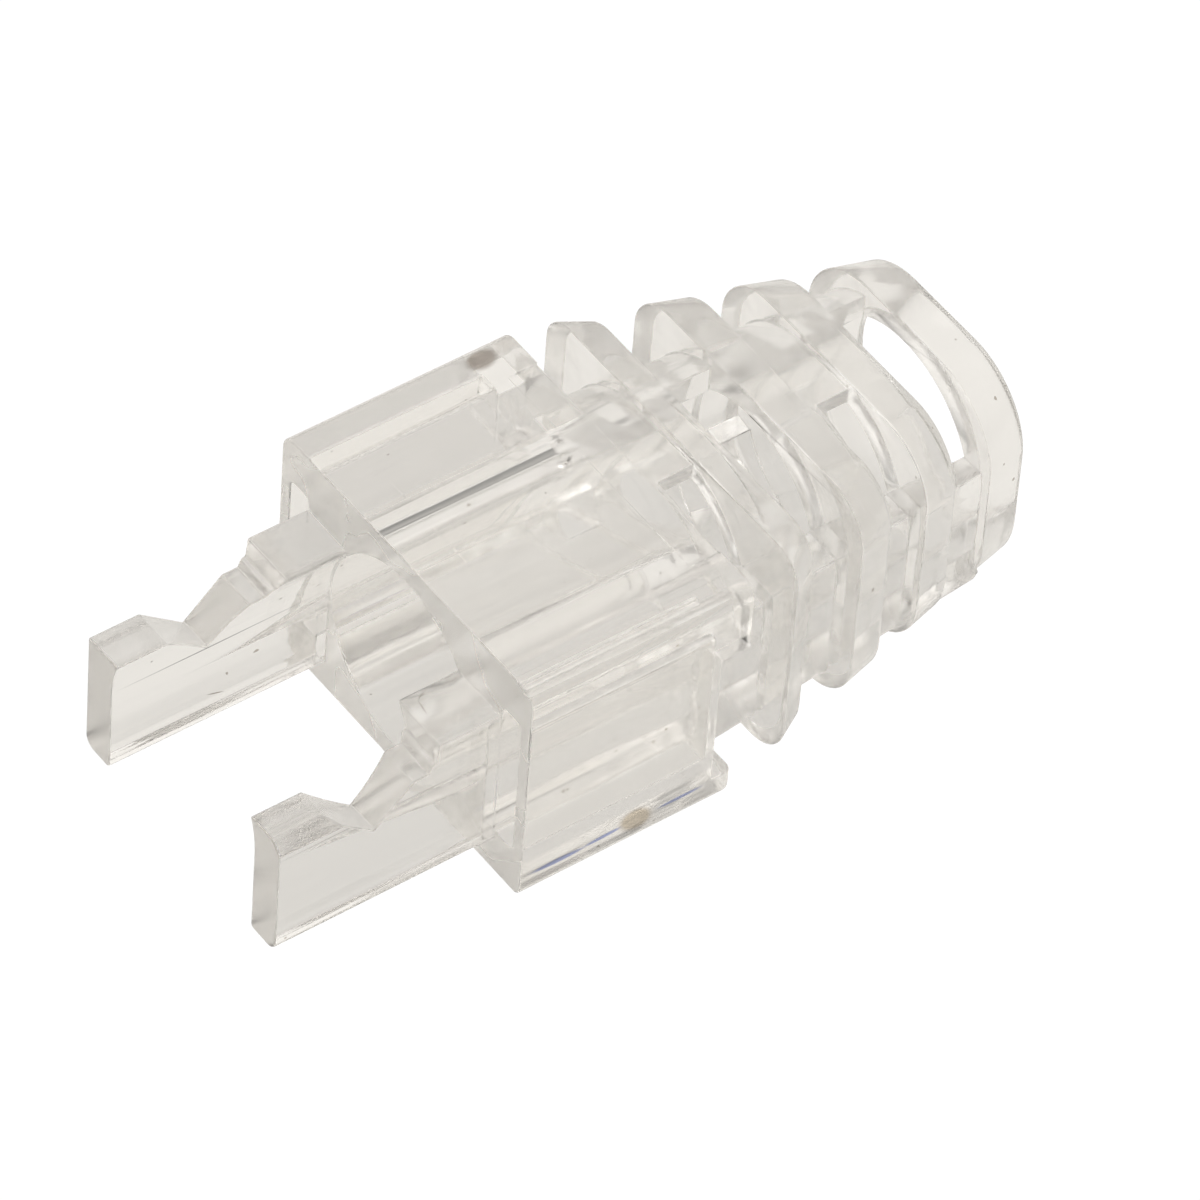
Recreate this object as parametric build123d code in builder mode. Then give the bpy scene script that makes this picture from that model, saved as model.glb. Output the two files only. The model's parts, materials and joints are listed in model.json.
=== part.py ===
# Strain relief boot for a modular data plug, one clear moulding
# Millimetres. X runs from the arms to the tail, Y across, Z up from the underside.
# Sizes along X count from the collar's front face; the finished part is then moved so that
# the origin is at the middle of its underside.
import os
from build123d import *

os.makedirs("parts", exist_ok=True)

# sizes that come from the plug and the cable
PLUG_W = 11.68
PLUG_FIT = 0.16

# collar
WALL = 0.50
CHANNEL_W = 0.95
COLLAR_W = PLUG_W + 2 * PLUG_FIT + 2 * WALL
COLLAR_H = 8.90
COLLAR_L = 8.20
CHANNEL_Z0 = 1.70
CHANNEL_Z1 = 7.20
CHANNEL_DEPTH = 7.00
CHANNEL_R = 0.22
CORNER_TOP = 0.60
CORNER_LOW = 0.35
NOTCH_X = 7.15
NOTCH_Z0 = 1.00
NOTCH_Z1 = 6.30
LOW_FLANGE_L = 7.95
STEP_X = 7.05
STEP_HALF = 4.70
STEP_DEPTH = 0.10

# bore for the cable
AXIS_Z = 4.40
BORE_R = 3.66

# arms
ARM_REACH = 7.97
ARM_Z0 = 1.07
ARM_Z1 = 6.80
ARM_TIP_Z = 5.74
ARM_VALLEY_Z = 4.44
VALLEY_X0 = 6.15
VALLEY_X = 4.52
VALLEY_X1 = 3.13
LIP_X0 = 2.57
LIP_X = 2.47
LIP_X1 = 2.30
LIP_RISE = 0.28
LIP_SLOPE = 0.07
RISER_X = 2.23
ARM_ROOT = 0.60
ARM_EDGE_OUT = 0.42
ARM_EDGE_IN = 0.16
ARM_CHAMFER = 0.42
ARM_CLEAR = 0.12

# tail: four rims on one pitch, each drawn in towards the back, smaller and rounder in turn
PITCH = 2.945
RIM_X0 = 9.84
RIM_T = (1.05, 1.40, 1.40, 1.58)
RIM_SHRINK = 0.60
RIM_TOP = 8.87
RIM_TOP_DROP = 0.03
RIM_LOW = 0.02
RIM_R_TOP = 1.20
RIM_R_TOP_STEP = 0.53
RIM_R_LOW = 1.60
RIM_R_LOW_STEP = 0.45
SIDE_DRAFT = (0.60, 0.38, 0.38, 0.38)
TOP_DRAFT = (0.04, 0.14, 0.14, 0.14)

# tail: the core that joins the rims
CORE_HALF = 5.25
CORE_SHRINK = 0.31
CORE_TOP = 8.52
CORE_LOW = 0.36
CORE_LOW_RISE = 0.06
CORE_R_TOP = 3.40
CORE_R_LOW = 0.90

# tail: windows between the rims, long and short by turns
LONG_END = 2.00
SHORT_END = -1.05
WINDOW_SIDE = 1.50
WINDOW_LEAD = 0.32

# derived sizes
HALF = COLLAR_W / 2
CHANNEL_OUT = HALF - WALL
CHANNEL_IN = CHANNEL_OUT - CHANNEL_W
ARM_IN = BORE_R + ARM_CLEAR
ARM_OUT = CHANNEL_IN
END_X0 = RIM_X0 + 3 * PITCH
TAIL_END = END_X0 + RIM_T[3]
MIDDLE_X = (TAIL_END - ARM_REACH) / 2


def rim_front(i):
    return RIM_X0 + i * PITCH


def rim_back(i):
    return rim_front(i) + RIM_T[i]


def section(x, half, z0, z1, r_low, r_top):
    # rounded rectangle in the plane at x, with its own radius for the top and the low corners
    with BuildSketch(Plane(origin=(x, 0, 0), x_dir=(0, 1, 0), z_dir=(1, 0, 0))) as s:
        with BuildLine():
            Polyline(
                (-half, z0), (half, z0), (half, z1), (-half, z1), close=True
            )
        make_face()
        low = [v for v in s.vertices() if v.Y < (z0 + z1) / 2]
        fillet(low, r_low)
        top = s.vertices().sort_by(Axis.Y)[-2:]
        fillet(top, r_top)
    return s.sketch


def cut_box(x0, x1, y0, y1, z0, z1):
    with Locations(((x0 + x1) / 2, (y0 + y1) / 2, (z0 + z1) / 2)):
        return Box(x1 - x0, y1 - y0, z1 - z0, mode=Mode.SUBTRACT)


# one arm, from its side profile: tip, notch, ledge, small lip, flat top
with BuildPart() as arm:
    with BuildSketch(Plane.XZ.offset(-ARM_OUT)):
        with BuildLine():
            Polyline(
                (-ARM_REACH, ARM_Z0),
                (-ARM_REACH, ARM_TIP_Z),
                (-VALLEY_X0, ARM_TIP_Z),
                (-VALLEY_X, ARM_VALLEY_Z),
                (-VALLEY_X1, ARM_TIP_Z),
                (-LIP_X0, ARM_TIP_Z),
                (-LIP_X, ARM_TIP_Z + LIP_RISE),
                (-LIP_X1, ARM_TIP_Z + LIP_RISE + LIP_SLOPE),
                (-RISER_X, ARM_Z1),
                (ARM_ROOT, ARM_Z1),
                (ARM_ROOT, ARM_Z0),
                close=True,
            )
        make_face()
    extrude(amount=ARM_OUT - 1.2)
    # the cable arch between the arms: straight sides, a flattened round above the axis
    with BuildSketch(Plane(origin=(-ARM_REACH - 1, 0, 0), x_dir=(0, 1, 0), z_dir=(1, 0, 0))):
        with Locations((0, AXIS_Z)):
            Ellipse(ARM_IN, BORE_R)
        with Locations((0, AXIS_Z / 2)):
            Rectangle(2 * ARM_IN, AXIS_Z)
    extrude(amount=ARM_REACH + 3, mode=Mode.SUBTRACT)
    low_edges = arm.edges().filter_by(Axis.X).filter_by_position(Axis.Z, ARM_Z0 - 0.01, ARM_Z0 + 0.01)
    fillet(low_edges.sort_by(Axis.Y)[-1], ARM_EDGE_OUT)
    low_edges = arm.edges().filter_by(Axis.X).filter_by_position(Axis.Z, ARM_Z0 - 0.01, ARM_Z0 + 0.01)
    fillet(low_edges.sort_by(Axis.Y)[0], ARM_EDGE_IN)


# the near arm is the same one mirrored, with the inner edge of its tip broken
with BuildPart() as near_arm:
    add(mirror(arm.part, about=Plane.XZ))
    tip = near_arm.edges().filter_by(Axis.X).filter_by_position(Axis.Z, ARM_TIP_Z - 0.01, ARM_TIP_Z + 0.01)
    tip = tip.filter_by_position(Axis.X, -ARM_REACH, -VALLEY_X0)
    chamfer(tip.sort_by(Axis.Y)[-1], ARM_CHAMFER)


# rims
rims = []
for i in range(4):
    half = HALF - i * RIM_SHRINK
    top = RIM_TOP - i * RIM_TOP_DROP
    r_low = RIM_R_LOW + i * RIM_R_LOW_STEP
    r_top = RIM_R_TOP + i * RIM_R_TOP_STEP
    with BuildPart() as rim_part:
        front = section(rim_front(i), half, RIM_LOW, top, r_low, r_top)
        back = section(rim_back(i), half - SIDE_DRAFT[i], RIM_LOW, top - TOP_DRAFT[i], r_low, r_top)
        loft([front, back], ruled=True)
    rims.append(rim_part.part)


with BuildPart() as boot:
    # collar block
    collar = section(0, HALF, 0, COLLAR_H, CORNER_LOW, CORNER_TOP)
    extrude(collar, amount=COLLAR_L)
    # rear corners: the low flange is shorter, the sides are cut back between the flanges
    cut_box(LOW_FLANGE_L, COLLAR_L + 1, -HALF - 1, HALF + 1, -1, NOTCH_Z0)
    for side in (-1, 1):
        y0, y1 = sorted((side * (CORE_HALF - 0.02), side * (HALF + 1)))
        cut_box(NOTCH_X, COLLAR_L + 1, y0, y1, NOTCH_Z0, NOTCH_Z1)
    # shallow flat on top where the tail runs into the collar
    cut_box(STEP_X, COLLAR_L + 1, -STEP_HALF, STEP_HALF, COLLAR_H - STEP_DEPTH, COLLAR_H + 1)
    # channels for the side walls of the plug
    for side in (-1, 1):
        with BuildSketch(Plane(origin=(-0.5, 0, 0), x_dir=(0, 1, 0), z_dir=(1, 0, 0))):
            with Locations((side * (CHANNEL_IN + CHANNEL_OUT) / 2, (CHANNEL_Z0 + CHANNEL_Z1) / 2)):
                RectangleRounded(CHANNEL_W, CHANNEL_Z1 - CHANNEL_Z0, CHANNEL_R)
        extrude(amount=0.5 + CHANNEL_DEPTH, mode=Mode.SUBTRACT)

    # tail core, drawn in as it runs back
    x0 = COLLAR_L - 0.6
    x1 = END_X0 + 0.3
    span = (x1 - RIM_X0) / PITCH
    core_front = section(x0, CORE_HALF, CORE_LOW, CORE_TOP, CORE_R_LOW, CORE_R_TOP)
    core_back = section(
        x1,
        CORE_HALF - CORE_SHRINK * span,
        CORE_LOW + CORE_LOW_RISE * span,
        CORE_TOP,
        CORE_R_LOW,
        CORE_R_TOP,
    )
    loft([core_front, core_back])

    # windows through the core: the ones below are the ones above turned half a turn about the bore
    for i in range(4):
        xa = COLLAR_L + WINDOW_LEAD if i == 0 else rim_back(i - 1) - 0.2
        if i == 2:
            xa = rim_back(i - 1) + WINDOW_LEAD
        xb = rim_front(i) + 0.2
        end = LONG_END if i % 2 else SHORT_END
        cut_box(xa, xb, -HALF - 1, end, AXIS_Z + WINDOW_SIDE, COLLAR_H)
        cut_box(xa, xb, -end, HALF + 1, -1, AXIS_Z - WINDOW_SIDE)

    # rims, then the arms, one on each side
    for rim in rims:
        add(rim)
    add(arm.part)
    add(near_arm.part)

    # bore for the cable
    with Locations(Location((TAIL_END / 2, 0, AXIS_Z), (0, 90, 0))):
        Cylinder(BORE_R, TAIL_END, mode=Mode.SUBTRACT)

moulding = boot.part.moved(Location((-MIDDLE_X, 0, 0)))
moulding.label = "boot"
moulding.color = Color(0.86, 0.85, 0.83, 0.35)
export_step(moulding, "parts/boot.step")

print("solids", len(moulding.solids()), "volume", round(moulding.volume, 2))
print("box", moulding.bounding_box())
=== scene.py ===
# Clear strain relief boot for a modular data plug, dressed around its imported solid.
import json
import math

import bmesh
import bpy
from mathutils import Euler, Matrix, Vector
from mathutils.geometry import intersect_point_line
from mathutils.kdtree import KDTree


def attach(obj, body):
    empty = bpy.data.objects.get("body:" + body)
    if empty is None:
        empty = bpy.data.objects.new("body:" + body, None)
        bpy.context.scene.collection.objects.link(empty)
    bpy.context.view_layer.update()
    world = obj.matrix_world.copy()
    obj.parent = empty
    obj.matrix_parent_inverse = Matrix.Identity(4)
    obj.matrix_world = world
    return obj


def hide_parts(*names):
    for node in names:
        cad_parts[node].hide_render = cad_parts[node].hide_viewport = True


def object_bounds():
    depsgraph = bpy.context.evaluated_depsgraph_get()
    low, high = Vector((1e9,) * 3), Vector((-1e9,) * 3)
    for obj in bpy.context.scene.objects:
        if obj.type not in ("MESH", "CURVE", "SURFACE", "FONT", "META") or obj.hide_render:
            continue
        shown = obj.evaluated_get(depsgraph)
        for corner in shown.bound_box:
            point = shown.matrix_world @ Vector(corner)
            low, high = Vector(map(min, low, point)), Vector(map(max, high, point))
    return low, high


bl_info = {
    "name": "Clear strain relief boot",
    "version": (1, 0, 0),
    "blender": (4, 5, 0),
    "location": "View3D > Sidebar > Boot",
    "description": "Clear moulded boot, its plastic, and the table it is photographed on",
    "category": "Object",
}

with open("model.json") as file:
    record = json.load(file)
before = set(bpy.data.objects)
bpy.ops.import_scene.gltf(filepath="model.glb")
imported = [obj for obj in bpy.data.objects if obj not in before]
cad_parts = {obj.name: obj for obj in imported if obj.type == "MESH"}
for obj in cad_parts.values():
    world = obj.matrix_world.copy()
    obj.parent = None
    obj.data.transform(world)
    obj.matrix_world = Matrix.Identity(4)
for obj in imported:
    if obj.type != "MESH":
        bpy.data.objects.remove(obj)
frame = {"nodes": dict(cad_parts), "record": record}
CAD_LOW, CAD_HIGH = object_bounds()
MM = 0.001
BORE, SEAT = frame["record"]["mounts"][:2]
BORE_RADIUS = BORE["dims"]["r_mm"] * MM
BORE_HEIGHT = BORE["pos_m"][2]
SEAT_X = SEAT["pos_m"][0]
HALF_WIDTH = CAD_HIGH[1]
ARM_TOP = 6.8 * MM

# rear end of the low flange, its height, and the rounding of its corners
FLANGE_END = SEAT_X + 7.95 * MM
FLANGE_TOP = 1.0 * MM
FLANGE_LOW_ROUND = 0.35 * MM
FLANGE_ROUND = 0.30 * MM
FLANGE_SEGMENTS = 5

# widest part of the thin step between the bore's mouth and the arms, and how far up it goes
MOUTH_STEP = 0.15 * MM
MOUTH_TOP = ARM_TOP + 0.05 * MM

# cuts through the mesh, so that no flat face goes round a hole: axis and place;
# the level cut is clear of every edge of the arms
CUTS = ((1, 0.0), (2, 3.6 * MM))

# distances within which points count as one, or lie on a cut, a face or an end
MERGED = 0.0005 * MM
CUT_REACH = 0.0001 * MM
ON_CUT = 0.0002 * MM
ON_FACE = 0.001 * MM
ON_END = 0.002 * MM

# in radians: faces that count as one plane, and edges that count as sharp
FLAT_ANGLE = 0.003
SHARP_ANGLE = 0.5

# the room that a broken edge needs to the next one, in widths of the broken edge
EDGE_ROOM = 2.1
EDGE_SEGMENTS = 2

# shares that tell edges side by side: how far to look in rooms, least cosine between them,
# most of the gap that may lie along them
LOOK_ROUND = 1.5
PARALLEL = 0.9
ALONG_GAP = 0.5

# where the finishes of the mould begin and are full
TIP_FROST = (CAD_LOW[0] + 0.03 * MM, CAD_LOW[0] + 0.07 * MM)
FRONT_FROST = (0.02 * MM, 0.05 * MM)
ARMS_END = (SEAT_X - 0.10 * MM, SEAT_X - 0.05 * MM)
ARM_TOP_FROST = (3.0 * MM, 4.2 * MM)
TAIL_START = (1.0 * MM, 2.2 * MM)
LEVEL_FACES = (0.3, 0.6)

# roughness of the polished plastic, and what each finish adds to it
POLISHED = 0.055
TIP_ROUGH = 0.30
FRONT_ROUGH = 0.20
ARM_TOP_ROUGH = 0.16
TAIL_ROUGH = 0.07
MOTTLE_ROUGH = 0.05
WITNESS_ROUGH = 0.14

# patterns of the surface: noise per metre, and the part of the noise that shows
MOTTLE_SCALE = (420.0, 420.0, 420.0)
MOTTLE_RANGE = (0.40, 0.68)
WITNESS_RANGE = (0.38, 0.46)
SPECK_SCALE = (3600.0, 3600.0, 3600.0)
SPECK_RANGE = (0.86, 0.89)
FLOW_SCALE = (110.0, 900.0, 900.0)
FLOW_DEPTH = 0.03 * MM

# the plastic itself
REFRACTION = 1.585
CLEARNESS = 0.985
DEPTH_COLOUR = (0.78, 0.74, 0.68, 1.0)
DEPTH_DENSITY = 16.0

# faces that carry marks, in millimetres
NEAR_FACE = CAD_LOW[1] / MM
TOP_FACE = CAD_HIGH[2] / MM
ARM_FACE = 3.78
ARM_TOP_FACE = ARM_TOP / MM

# share of a mark's half size that has its full colour
MARK_CORE = 0.55

# line across the top where the two halves of the mould met:
# middle and half size in millimetres, turn in degrees
WITNESS = ((-4.62, 0.58, TOP_FACE), (0.045, 4.3, 0.15), (0, 0, 0))

# colours of the marks, of a painted dark reflection and of dust
STREAK = (0.16, 0.21, 0.56, 1.0)
BROWN_PATCH = (0.40, 0.32, 0.22, 1.0)
HAIR = (0.16, 0.13, 0.10, 1.0)
PAINTED_DARK_REFLECTION = (0.26, 0.22, 0.19, 1.0)
SPECK = (0.30, 0.26, 0.22, 1.0)

# marks on the surface: middle and half size in millimetres, turn in degrees, colour
MARKS = (
    # three blue lines and a brown patch, low on the near face
    ((-4.75, NEAR_FACE, 0.84), (1.25, 0.20, 0.13), (0, 1, 0), STREAK),
    ((-3.05, NEAR_FACE, 0.88), (0.90, 0.20, 0.10), (0, -2, 0), STREAK),
    ((-0.18, NEAR_FACE, 0.92), (1.05, 0.20, 0.09), (0, 0, 0), STREAK),
    ((-1.85, NEAR_FACE, 0.94), (0.80, 0.20, 0.58), (0, 20, 0), BROWN_PATCH),
    # painted reflection: a dark patch on the top face near the far side stands for a dark
    # reflection in the plastic
    ((0.66, 5.74, TOP_FACE), (0.72, 0.50, 0.20), (0, 0, 8), PAINTED_DARK_REFLECTION),
    ((-10.25, ARM_FACE, 2.15), (0.40, 0.12, 0.030), (0, 18, 0), HAIR),
    ((-12.70, ARM_FACE, 5.06), (0.07, 0.12, 0.06), (0, 0, 0), HAIR),
    ((-7.66, -3.07, ARM_TOP_FACE), (0.24, 0.025, 0.10), (0, 0, 28), HAIR),
    ((-7.92, -3.50, ARM_TOP_FACE), (0.025, 0.36, 0.10), (0, 0, -8), HAIR),
)

# the table: drop below the boot, strength to the eye, share of its light left in the shadow
# painted under the boot, and where that painted shadow ends along and across the boot
TABLE_DROP = 0.02 * MM
TABLE_WHITE = 1.05
LIGHT_LEFT_IN_PAINTED_SHADOW = 0.80
SHADE_ALONG = (12.5 * MM, 15.0 * MM)
SHADE_ACROSS = (5.5 * MM, 7.5 * MM)

# lamps above the table: name, place, size, power
LIGHTS = (
    ("top_box", (-0.10, 0.25, 0.60), (0.35, 0.35), 0.45),
    ("side_box", (-0.55, -0.20, 0.35), (0.25, 0.25), 0.25),
)

# the light tent: rings of even soft panels, with their height and the first one's turn
# about Z in degrees, and the number of panels
TENT_RINGS = ((8, -129, 6), (31, -99, 6), (54, -129, 5), (90, 0, 1))
TENT_COLOUR = (0.955, 0.930, 0.885, 1.0)
PANEL_FOCUS = 9.0
# brightness of a panel: the middle value, and the gain towards the tent's bright side
PANEL_BRIGHT = 0.585
SIDE_GAIN = 0.13
BRIGHT_SIDE = -165
# two panels with a lamp behind them and one that is turned away: height, number, gain
ODD_PANELS = {(31, 4): 0.20, (31, 2): 0.20, (8, 3): -0.20}
# narrow dark gaps between the walls and the table: turn, height, darkness, focus
TENT_GAPS = ((68, 6, 0.24, 45.0), (-66, 13, 0.34, 26.0))
# bounces of light: all, through the plastic, and off it
BOUNCES = (36, 36, 32)

# camera solved from the corners of the collar and the arms: place in metres,
# turn about X, Y and Z in degrees, lens and sensor in millimetres, nearest and farthest sight
EYE = Vector((SEAT_X - 0.125710, -0.163270, 0.227282))
EYE_TURN = (43.1129, -3.1604, -35.8465)
LENS = 301.98
SENSOR = 36.0
SIGHT = (0.01, 10.0)


class Sock:
    """A node output, with the operators that shader sums use."""

    def __init__(self, tree, out):
        self.tree = tree
        self.out = out

    def _math(self, operation, *values):
        node = self.tree.node("ShaderNodeMath", {"operation": operation}, values)
        return Sock(self.tree, node.outputs[0])

    def __add__(self, other):
        return self._math("ADD", self, other)

    def __radd__(self, other):
        return self._math("ADD", other, self)

    def __sub__(self, other):
        return self._math("SUBTRACT", self, other)

    def __rsub__(self, other):
        return self._math("SUBTRACT", other, self)

    def __mul__(self, other):
        return self._math("MULTIPLY", self, other)

    def __rmul__(self, other):
        return self._math("MULTIPLY", other, self)

    def __abs__(self):
        return self._math("ABSOLUTE", self)

    def exp(self):
        return self._math("EXPONENT", self)

    def clamped(self):
        return self._math("MINIMUM", self._math("MAXIMUM", self, 0.0), 1.0)

    def ramp(self, low, high):
        """0 below low, 1 above high, smooth between them."""
        node = self.tree.node(
            "ShaderNodeMapRange",
            {"interpolation_type": "SMOOTHSTEP"},
            {"Value": self, "From Min": low, "From Max": high},
        )
        return Sock(self.tree, node.outputs[0])


class Tree:
    """The node tree of a material or of the world."""

    def __init__(self, owner):
        owner.use_nodes = True
        self.owner = owner
        self.nodes = owner.node_tree.nodes
        self.links = owner.node_tree.links
        self.nodes.clear()

    def node(self, kind, settings=None, values=None):
        """A new node: its settings first, then a value or a link for each socket."""
        made = self.nodes.new(kind)
        for name, value in (settings or {}).items():
            setattr(made, name, value)
        if isinstance(values, dict):
            pairs = values.items()
        else:
            pairs = enumerate(values or ())
        for key, value in pairs:
            socket = made.inputs[key]
            if isinstance(value, Sock):
                self.links.new(value.out, socket)
            else:
                socket.default_value = value
        return made

    def out(self, node, name=0):
        return Sock(self, node.outputs[name])

    def place(self, kind="Object"):
        return self.out(self.node("ShaderNodeTexCoord"), kind)

    def split(self, place):
        """The three parts of a vector."""
        node = self.node("ShaderNodeSeparateXYZ", None, {0: place})
        return [self.out(node, name) for name in "XYZ"]

    def seen(self):
        """1 where the camera looks straight at the surface, 0 through or off another one."""
        return self.out(self.node("ShaderNodeLightPath"), "Is Camera Ray")

    def mix(self, factor, first, second):
        """A blend of two colours, whose sockets are told apart by number only."""
        node = self.node(
            "ShaderNodeMix",
            {"data_type": "RGBA"},
            {0: factor, 6: first, 7: second},
        )
        return self.out(node, 2)

    def spot(self, place, middle, half, turn):
        """1 inside a small ellipsoid, 0 outside it; sizes in millimetres, turn in degrees."""
        inside = self.node(
            "ShaderNodeMapping",
            {"vector_type": "TEXTURE"},
            {
                "Vector": place,
                "Location": [v * MM for v in middle],
                "Rotation": [math.radians(v) for v in turn],
                "Scale": [v * MM for v in half],
            },
        )
        size = self.node(
            "ShaderNodeVectorMath", {"operation": "LENGTH"}, (self.out(inside),)
        )
        return 1.0 - self.out(size, "Value").ramp(MARK_CORE, 1.0)

    def noise(self, place, scale, detail):
        """Even noise from 0 to 1 with its own scale along each axis."""
        spread = self.node("ShaderNodeMapping", None, {"Vector": place, "Scale": scale})
        node = self.node(
            "ShaderNodeTexNoise",
            None,
            {"Vector": self.out(spread), "Scale": 1.0, "Detail": detail},
        )
        return self.out(node)

    def finish(self, kind, **shaders):
        """The output node, with the shader that feeds each of its sockets."""
        self.node(kind, None, {name: self.out(node) for name, node in shaders.items()})
        return self.owner


class BootSizes(bpy.types.PropertyGroup):
    """Sizes and colours of the moulding."""

    edge: bpy.props.FloatProperty(
        name="Edge radius",
        description="Size of the broken edges of the moulding",
        default=0.06 * MM,
        unit="LENGTH",
    )
    tint: bpy.props.FloatVectorProperty(
        name="Plastic tint",
        description="Colour that light keeps as it passes a surface of the plastic",
        subtype="COLOR",
        size=4,
        default=(0.990, 0.984, 0.973, 1.0),
    )


class StageSizes(bpy.types.PropertyGroup):
    """Sizes and colours of the table and its lights."""

    reach: bpy.props.FloatProperty(
        name="Table size",
        description="Length of one side of the table top",
        default=1.6,
        unit="LENGTH",
    )
    white: bpy.props.FloatVectorProperty(
        name="Table colour",
        description="Colour of the table top beside the boot, white as in the photograph",
        subtype="COLOR",
        size=4,
        default=(1.0, 1.0, 1.0, 1.0),
    )
    through: bpy.props.FloatVectorProperty(
        name="Table colour in the plastic",
        description="Warm grey of the table top where it is seen through the boot",
        subtype="COLOR",
        size=4,
        default=(0.862, 0.838, 0.795, 1.0),
    )


def finish_roughness(tree, place):
    """Roughness of the plastic, from the finishes of the mould."""
    along, _, up = tree.split(place)
    level = abs(tree.split(tree.place("Normal"))[2]).ramp(*LEVEL_FACES)
    # the cut tips, the collar's front face and the top faces of the arms are frosted
    tip = 1.0 - along.ramp(*TIP_FROST)
    front = 1.0 - abs(along - SEAT_X).ramp(*FRONT_FROST)
    arms = 1.0 - along.ramp(*ARMS_END)
    arm_top = arms * level * up.ramp(*ARM_TOP_FROST)
    # the tail comes from a duller half of the mould than the collar
    tail = along.ramp(*TAIL_START)
    frosted = TIP_ROUGH * tip + FRONT_ROUGH * front + ARM_TOP_ROUGH * arm_top
    frosted = (frosted + TAIL_ROUGH * tail).clamped()
    cloud = tree.noise(place, MOTTLE_SCALE, 1.0)
    mottle = cloud.ramp(*MOTTLE_RANGE)
    witness = tree.spot(place, *WITNESS) * cloud.ramp(*WITNESS_RANGE)
    return POLISHED + MOTTLE_ROUGH * mottle + frosted + WITNESS_ROUGH * witness


def marked_colour(tree, place, tint):
    """Colour of the plastic with its marks, a painted dark reflection and specks of dust."""
    colour = tint
    for middle, half, turn, dirt_and_painted_reflection in MARKS:
        colour = tree.mix(tree.spot(place, middle, half, turn), colour, dirt_and_painted_reflection)
    speck = tree.noise(place, SPECK_SCALE, 0.0).ramp(*SPECK_RANGE)
    return tree.mix(speck, colour, SPECK)


def clear_plastic(tint):
    tree = Tree(bpy.data.materials.new("clear_plastic"))
    place = tree.place()
    # flow lines of the melt, along the boot
    wave = tree.node(
        "ShaderNodeBump",
        None,
        {
            "Strength": 1.0,
            "Distance": FLOW_DEPTH,
            "Height": tree.noise(place, FLOW_SCALE, 1.0),
        },
    )
    shader = tree.node(
        "ShaderNodeBsdfPrincipled",
        {"distribution": "GGX"},
        {
            "Base Color": marked_colour(tree, place, tint),
            "Roughness": finish_roughness(tree, place),
            "IOR": REFRACTION,
            "Transmission Weight": CLEARNESS,
            "Normal": tree.out(wave),
        },
    )
    depth = tree.node(
        "ShaderNodeVolumeAbsorption",
        None,
        {"Color": DEPTH_COLOUR, "Density": DEPTH_DENSITY},
    )
    return tree.finish("ShaderNodeOutputMaterial", Surface=shader, Volume=depth)


def table_top(white, through):
    """White to the eye, and a warm grey where the clear plastic shows it, with a painted
    shadow under the boot.
    """
    tree = Tree(bpy.data.materials.new("table_white"))
    seen = tree.node("ShaderNodeEmission", None, {"Color": white, "Strength": TABLE_WHITE})
    along, across, _ = tree.split(tree.place())
    # painted shadow: where the plastic shows the table, its glow is lowered under the boot
    beside = abs(along).ramp(*SHADE_ALONG) + abs(across).ramp(*SHADE_ACROSS)
    strength = LIGHT_LEFT_IN_PAINTED_SHADOW + (1.0 - LIGHT_LEFT_IN_PAINTED_SHADOW) * beside.clamped()
    other = tree.node("ShaderNodeEmission", None, {"Color": through, "Strength": strength})
    shader = tree.node(
        "ShaderNodeMixShader", None, (tree.seen(), tree.out(other), tree.out(seen))
    )
    return tree.finish("ShaderNodeOutputMaterial", Surface=shader)


def tent_panels():
    """Direction, brightness and focus of each panel of the tent, the dark gaps below 0."""
    for height, first, count in TENT_RINGS:
        for number in range(count):
            turn = first + number * 360 / count
            side = math.cos(math.radians(height)) * math.cos(math.radians(turn - BRIGHT_SIDE))
            bright = PANEL_BRIGHT + SIDE_GAIN * side + ODD_PANELS.get((height, number), 0.0)
            yield turn, height, bright, PANEL_FOCUS
    for turn, height, dark, focus in TENT_GAPS:
        yield turn, height, -dark, focus


def light_tent():
    """White to the eye, and the soft panels of a light tent in the plastic."""
    world = bpy.data.worlds.new("studio")
    # the light comes through the plastic, where aimed rays never reach it
    world.cycles.sampling_method = "NONE"
    tree = Tree(world)
    way = tree.place("Generated")
    tone = 0.0
    for turn, height, bright, focus in tent_panels():
        # the middle of the panel, turned up from X and then about Z
        lift = Euler((0.0, -math.radians(height), math.radians(turn)))
        middle = lift.to_matrix() @ Vector((1, 0, 0))
        facing = tree.node(
            "ShaderNodeVectorMath", {"operation": "DOT_PRODUCT"}, {0: way, 1: focus * middle}
        )
        # bright times e to the power of focus times the cosine less one
        glow = (tree.out(facing, "Value") + (math.log(abs(bright)) - focus)).exp()
        tone = tone + glow if bright > 0 else tone - glow
    seen = tree.seen()
    colour = tree.mix(seen, TENT_COLOUR, (1.0, 1.0, 1.0, 1.0))
    strength = tone + seen * (1.0 - tone)
    light = tree.node("ShaderNodeBackground", None, {"Color": colour, "Strength": strength})
    return tree.finish("ShaderNodeOutputWorld", Surface=light)


def beside_mouth(line):
    """True for the edges of the thin step between the bore's mouth and the arms."""
    for v in line.verts:
        out = math.hypot(v.co.y, v.co.z - BORE_HEIGHT) - BORE_RADIUS
        if abs(v.co.x - SEAT_X) > ON_FACE or out > MOUTH_STEP or v.co.z > MOUTH_TOP:
            return False
    return True


def flange_corner(line):
    """True for the outer edges of the low flange's rear corners."""
    for v in line.verts:
        if abs(v.co.x - FLANGE_END) > ON_END or v.co.z > FLANGE_TOP + ON_END:
            return False
        if abs(v.co.y) < HALF_WIDTH - FLANGE_LOW_ROUND - ON_END:
            return False
    low, high = sorted(v.co.z for v in line.verts)
    return high - low > ON_END


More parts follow.
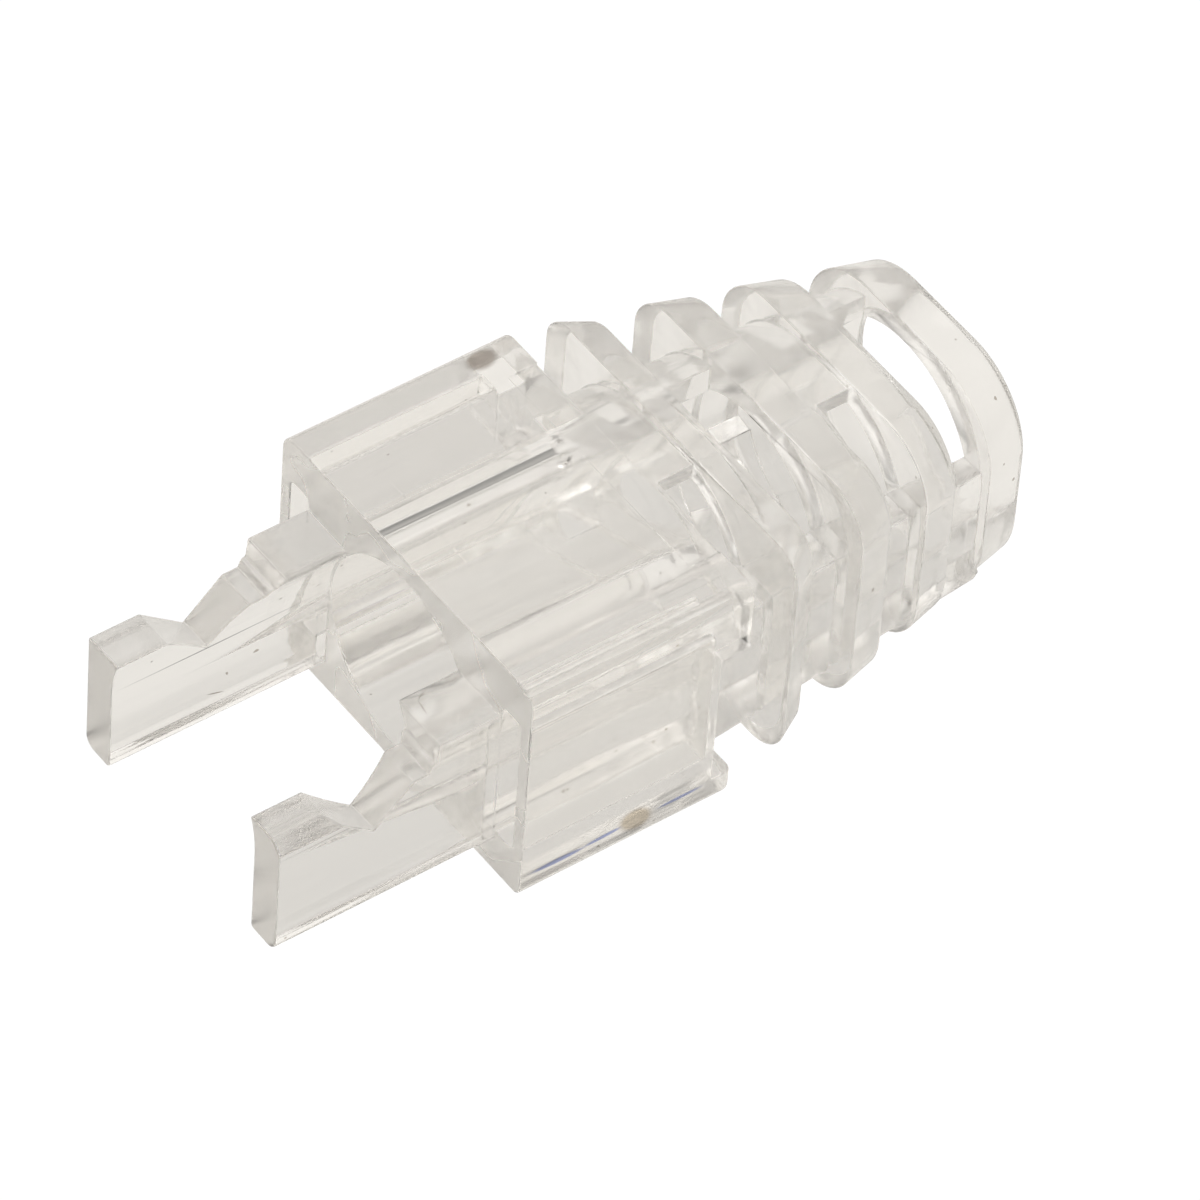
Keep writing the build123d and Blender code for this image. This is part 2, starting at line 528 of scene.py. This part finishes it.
def side_by_side(line, other, spot, room):
    """True where two edges run along each other, with less room than asked for at a spot."""
    if set(line.verts) & set(other.verts):
        return False
    start, end = (v.co for v in line.verts)
    first, last = (v.co for v in other.verts)
    way = (end - start).normalized()
    if abs((last - first).normalized().dot(way)) < PARALLEL:
        return False
    near, share = intersect_point_line(spot, first, last)
    gap = near - spot
    across = abs(gap.dot(way)) < ALONG_GAP * gap.length
    return 0 <= share <= 1 and gap.length < room and across


def crowded(lines, room):
    """The edges that run beside another one with less than the given room between them."""
    counts = [1 + int(line.calc_length() / room) for line in lines]
    lookup = KDTree(sum(counts))
    spots = []
    for number, (line, parts) in enumerate(zip(lines, counts)):
        start, end = (v.co for v in line.verts)
        for part in range(parts):
            spot = start.lerp(end, (part + 0.5) / parts)
            lookup.insert(spot, number)
            spots.append((spot, number))
    lookup.balance()
    found = set()
    for spot, number in spots:
        for _, other, _ in lookup.find_range(spot, LOOK_ROUND * room):
            if other == number or found.issuperset((number, other)):
                continue
            if side_by_side(lines[number], lines[other], spot, room):
                found.update((number, other))
    return [lines[number] for number in found]


def round_edges(work, lines, width, segments):
    bmesh.ops.bevel(
        work,
        geom=lines,
        offset=width,
        offset_type="OFFSET",
        affect="EDGES",
        segments=segments,
        profile=0.5,
        material=-1,
        clamp_overlap=False,
    )


def merge_flat_faces(work):
    """Joins the triangles of each flat face, apart from where the cuts divide it."""
    for axis, value in CUTS:
        normal = Matrix.Identity(3)[axis]
        bmesh.ops.bisect_plane(
            work,
            geom=work.verts[:] + work.edges[:] + work.faces[:],
            dist=CUT_REACH,
            plane_co=value * normal,
            plane_no=normal,
        )
    kept = set()
    for line in work.edges:
        for axis, value in CUTS:
            if all(abs(v.co[axis] - value) < ON_CUT for v in line.verts):
                kept.add(line)
    bmesh.ops.dissolve_limit(
        work,
        angle_limit=FLAT_ANGLE,
        verts=[v for v in work.verts if not any(e in kept for e in v.link_edges)],
        edges=[e for e in work.edges if e not in kept],
        delimit=set(),
    )


def moulding_mesh(node, edge):
    """A merged copy of a solid's mesh with its sharp edges broken."""
    mesh = bpy.data.meshes.new("moulding")
    work = bmesh.new()
    work.from_mesh(frame["nodes"][node].data)
    bmesh.ops.remove_doubles(work, verts=work.verts[:], dist=MERGED)
    merge_flat_faces(work)
    corners = [e for e in work.edges if flange_corner(e)]
    round_edges(work, corners, FLANGE_ROUND, FLANGE_SEGMENTS)
    sharp = [e for e in work.edges if e.is_manifold and e.calc_face_angle() > SHARP_ANGLE]
    # broken edges would fold over each other where two lie close together
    for line in crowded(sharp, EDGE_ROOM * edge) + [e for e in sharp if beside_mouth(e)]:
        line.smooth = False
    round_edges(work, [e for e in sharp if e.smooth], edge, EDGE_SEGMENTS)
    for face in work.faces:
        face.smooth = True
    work.to_mesh(mesh)
    work.free()
    if mesh.has_custom_normals:
        mesh.attributes.remove(mesh.attributes["custom_normal"])
    return mesh


class OBJECT_OT_boot_moulding(bpy.types.Operator):
    """Makes the clear moulding from the boot's solid"""

    bl_idname = "object.boot_moulding"
    bl_label = "Boot moulding"

    def execute(self, context):
        sizes = context.scene.boot_sizes
        mesh = moulding_mesh("boot", sizes.edge)
        mesh.materials.append(clear_plastic(sizes.tint))
        piece = bpy.data.objects.new("boot_moulding", mesh)
        context.scene.collection.objects.link(piece)
        even = piece.modifiers.new("even_shading", "WEIGHTED_NORMAL")
        even.mode = "FACE_AREA"
        even.weight = 80
        even.keep_sharp = True
        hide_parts("boot")
        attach(piece, "root")
        return {"FINISHED"}


class OBJECT_OT_boot_stage(bpy.types.Operator):
    """Makes the table, the lights and the camera"""

    bl_idname = "object.boot_stage"
    bl_label = "Table, lights and camera"

    def add_table(self, scene, sizes):
        work = bmesh.new()
        bmesh.ops.create_grid(work, x_segments=1, y_segments=1, size=sizes.reach / 2)
        mesh = bpy.data.meshes.new("table")
        work.to_mesh(mesh)
        work.free()
        mesh.materials.append(table_top(sizes.white, sizes.through))
        table = bpy.data.objects.new("table", mesh)
        scene.collection.objects.link(table)
        table.location = (0.0, 0.0, -TABLE_DROP)

    def add_lights(self, scene):
        for name, place, size, power in LIGHTS:
            lamp = bpy.data.lights.new(name, "AREA")
            lamp.energy = power
            lamp.shape = "RECTANGLE"
            lamp.size, lamp.size_y = size
            holder = bpy.data.objects.new(name, lamp)
            holder.location = place
            holder.rotation_euler = (-Vector(place)).to_track_quat("-Z", "Y").to_euler()
            scene.collection.objects.link(holder)
        scene.world = light_tent()
        scene.view_settings.view_transform = "Standard"
        most, through, off = BOUNCES
        scene.cycles.max_bounces = most
        scene.cycles.transmission_bounces = through
        scene.cycles.glossy_bounces = off

    def add_camera(self, scene):
        lens = bpy.data.cameras.new("photo_camera")
        lens.sensor_width = SENSOR
        lens.lens = LENS
        lens.clip_start, lens.clip_end = SIGHT
        camera = bpy.data.objects.new("photo_camera", lens)
        turn = Euler([math.radians(v) for v in EYE_TURN])
        camera.matrix_world = Matrix.LocRotScale(EYE, turn, None)
        scene.collection.objects.link(camera)
        scene.camera = camera

    def execute(self, context):
        scene = context.scene
        self.add_table(scene, scene.boot_stage)
        self.add_lights(scene)
        self.add_camera(scene)
        return {"FINISHED"}


class VIEW3D_PT_boot(bpy.types.Panel):
    """Lists the boot's pieces and their sizes"""

    bl_label = "Strain relief boot"
    bl_space_type = "VIEW_3D"
    bl_region_type = "UI"
    bl_category = "Boot"

    def draw(self, context):
        for group in (context.scene.boot_sizes, context.scene.boot_stage):
            for name in group.__annotations__:
                self.layout.prop(group, name)
        for operator in OPERATORS:
            self.layout.operator(operator.bl_idname)


OPERATORS = (OBJECT_OT_boot_moulding, OBJECT_OT_boot_stage)
CLASSES = (BootSizes, StageSizes, *OPERATORS, VIEW3D_PT_boot)


def register():
    for cls in CLASSES:
        bpy.utils.register_class(cls)
    bpy.types.Scene.boot_sizes = bpy.props.PointerProperty(type=BootSizes)
    bpy.types.Scene.boot_stage = bpy.props.PointerProperty(type=StageSizes)


def unregister():
    del bpy.types.Scene.boot_stage
    del bpy.types.Scene.boot_sizes
    for cls in reversed(CLASSES):
        bpy.utils.unregister_class(cls)


def main():
    register()
    bpy.ops.object.boot_moulding()
    bpy.ops.object.boot_stage()


if __name__ == "__main__":
    main()
